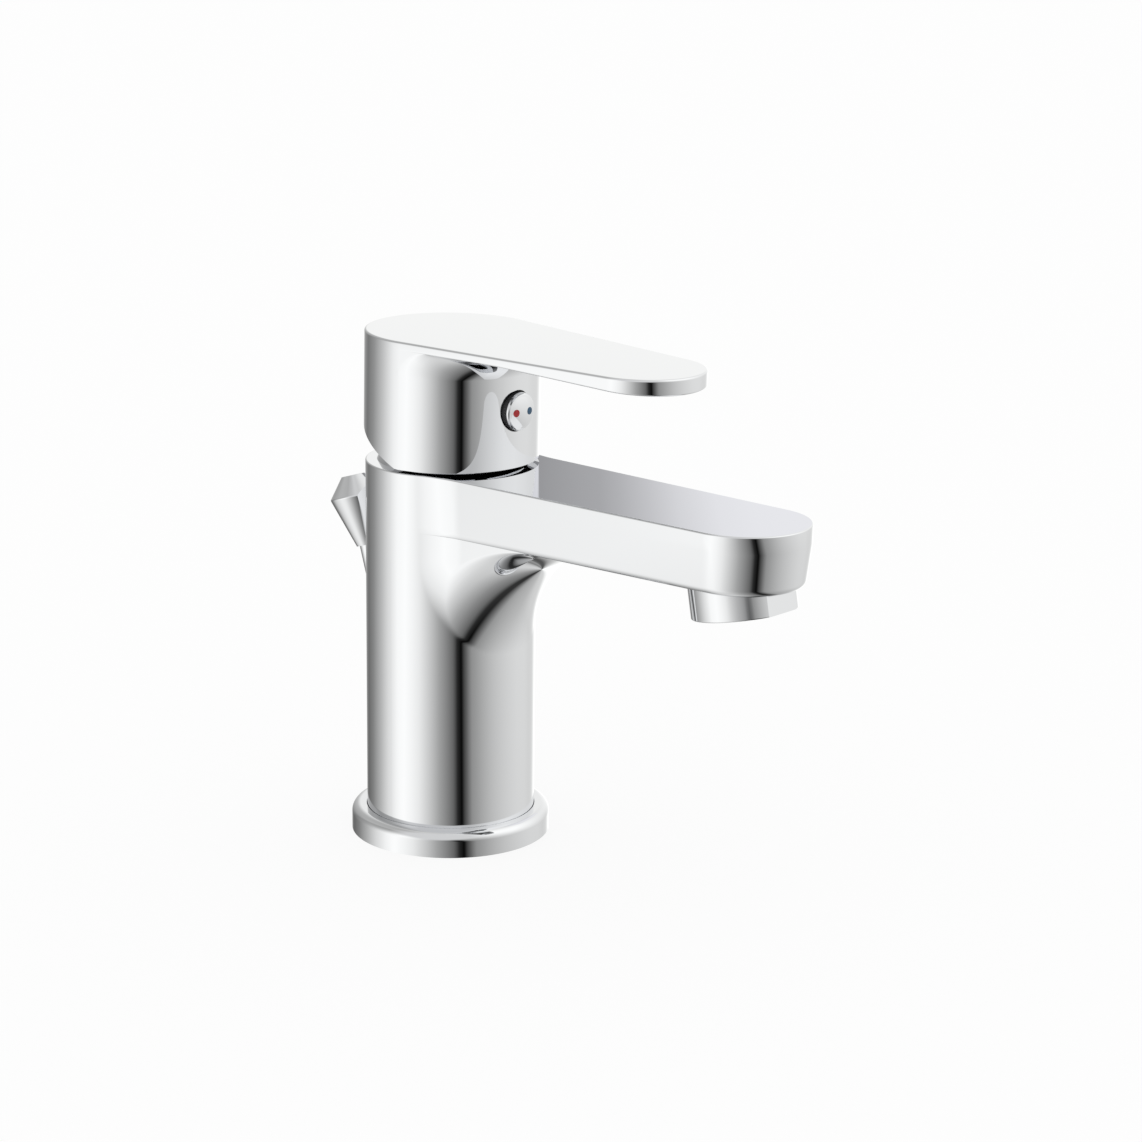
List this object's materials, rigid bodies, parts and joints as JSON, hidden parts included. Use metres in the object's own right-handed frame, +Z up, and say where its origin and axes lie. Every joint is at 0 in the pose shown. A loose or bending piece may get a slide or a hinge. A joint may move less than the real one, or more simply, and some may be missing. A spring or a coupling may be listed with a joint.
{
  "type": "single-lever basin mixer tap",
  "caption": "Chrome deck-mounted basin mixer: round column, flat straight spout with screw-in aerator, flat lever that lifts and swivels over a ceramic-disc cartridge, and a lift rod behind.",
  "frame": {"origin": "on the column's axis at the deck, the underside of the base ring", "axes": "+Z up, -Y along the spout, +X to the right as seen from the front, +Y towards the lift rod"},
  "size_m": [0.0544, 0.161, 0.1398],
  "materials": {
    "chrome": "polished chrome plate on cast brass",
    "trim_chrome": "chromed plastic",
    "brass": "machined, bare",
    "steel": "machined, bare",
    "cartridge_plastic": "moulded, white",
    "ceramic": "lapped and polished",
    "limit_plastic": "moulded, red",
    "aerator_plastic": "moulded, grey",
    "rubber": "moulded, black",
    "hot_red": "gloss enamel, red",
    "cold_blue": "gloss enamel, blue"
  },
  "bodies": {
    "body": {"body_casting": "chrome", "base_ring": "chrome", "base_gasket": "rubber", "cartridge_port_base": "cartridge_plastic", "cartridge_port_seals": "rubber", "ceramic_disc_fixed": "ceramic", "cartridge_housing": "cartridge_plastic", "cartridge_o_ring": "rubber", "temperature_limit_ring": "limit_plastic", "cartridge_nut": "brass", "trim_cap": "trim_chrome", "aerator_sleeve": "chrome", "aerator_insert": "aerator_plastic", "aerator_seal": "rubber"},
    "swivel": {"cartridge_spindle": "cartridge_plastic", "spindle_o_ring": "rubber", "lever_pivot_pin": "steel"},
    "disc": {"ceramic_disc_moving": "ceramic", "disc_carrier": "cartridge_plastic"},
    "lever": {"lever_stem": "brass", "handle": "chrome", "handle_grub_screw": "steel", "indicator_plug": "chrome", "indicator_dot_hot": "hot_red", "indicator_dot_cold": "cold_blue"},
    "lift": {"lift_rod": "chrome", "lift_knob": "chrome"}
  },
  "joints": [
    {"name": "lever_swivel", "type": "hinge", "parent": "body", "child": "swivel", "pos_m": [0, 0, 0.096], "axis": [0, 0, 1], "range_deg": [-50, 50]},
    {"name": "lever_lift", "type": "hinge", "parent": "swivel", "child": "lever", "pos_m": [0, 0, 0.096], "axis": [-1, 0, 0], "range_deg": [0, 25]},
    {"name": "disc_slide", "type": "slide", "parent": "swivel", "child": "disc", "axis": [0, -1, 0], "range_m": [0, 0.0048]},
    {"name": "rod_lift", "type": "slide", "parent": "body", "child": "lift", "axis": [0, 0.299, 0.9542], "range_m": [0, 0.025]}
  ],
  "couplings": [
    {"joint": "disc_slide", "follows": "lever_lift", "m_per_rad": 0.010694}
  ]
}
